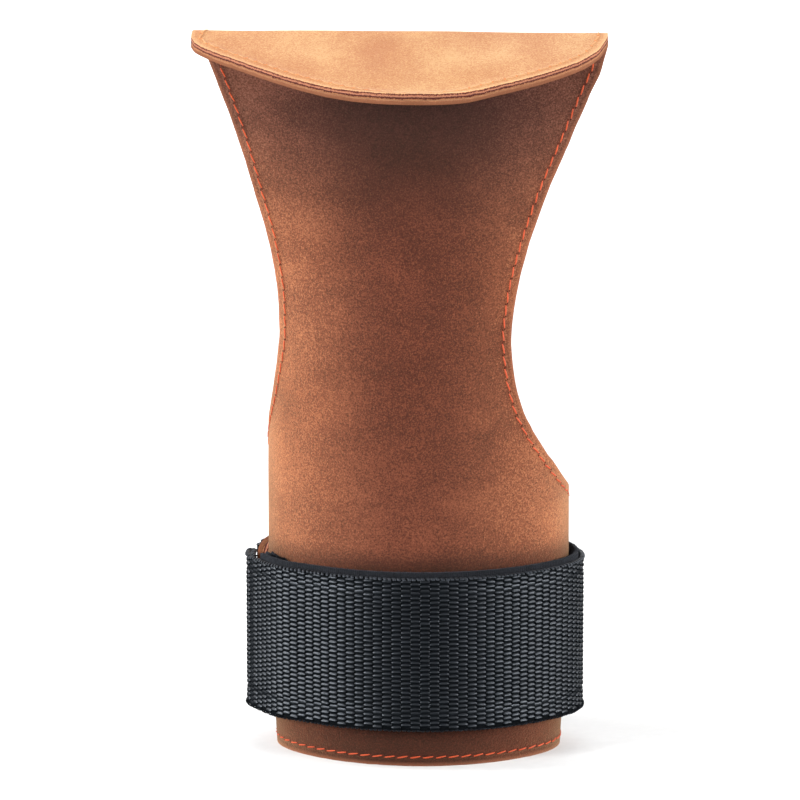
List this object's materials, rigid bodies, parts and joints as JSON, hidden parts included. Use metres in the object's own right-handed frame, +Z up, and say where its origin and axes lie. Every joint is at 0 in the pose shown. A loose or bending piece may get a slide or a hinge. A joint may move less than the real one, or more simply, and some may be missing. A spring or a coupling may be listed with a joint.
{
  "type": "weightlifting hand grip",
  "caption": "Three-ply leather palm grip with a flap folded forward over its top, a waisted palm piece and a wrist cuff held by a wide webbing strap.",
  "frame": {"origin": "on the floor under the middle of the whole grip, which stands on its cuff", "axes": "+Z up from the cuff to the fold, +X to the right as seen from the front, the front of the palm piece and the flap towards -Y"},
  "size_m": [0.0984, 0.1034, 0.1799],
  "materials": {
    "palm_leather": "nubuck, matte",
    "core_leather": "raw, matte",
    "backing_leather": "suede, matte",
    "strap_pile": "pile, matte",
    "strap_webbing": "woven, satin"
  },
  "bodies": {
    "root": {"palm_leather": "palm_leather", "core_leather": "core_leather", "backing_leather": "backing_leather", "strap_band": "strap_pile", "strap_webbing": "strap_webbing", "strap_hook_tab": "strap_pile"}
  },
  "joints": []
}
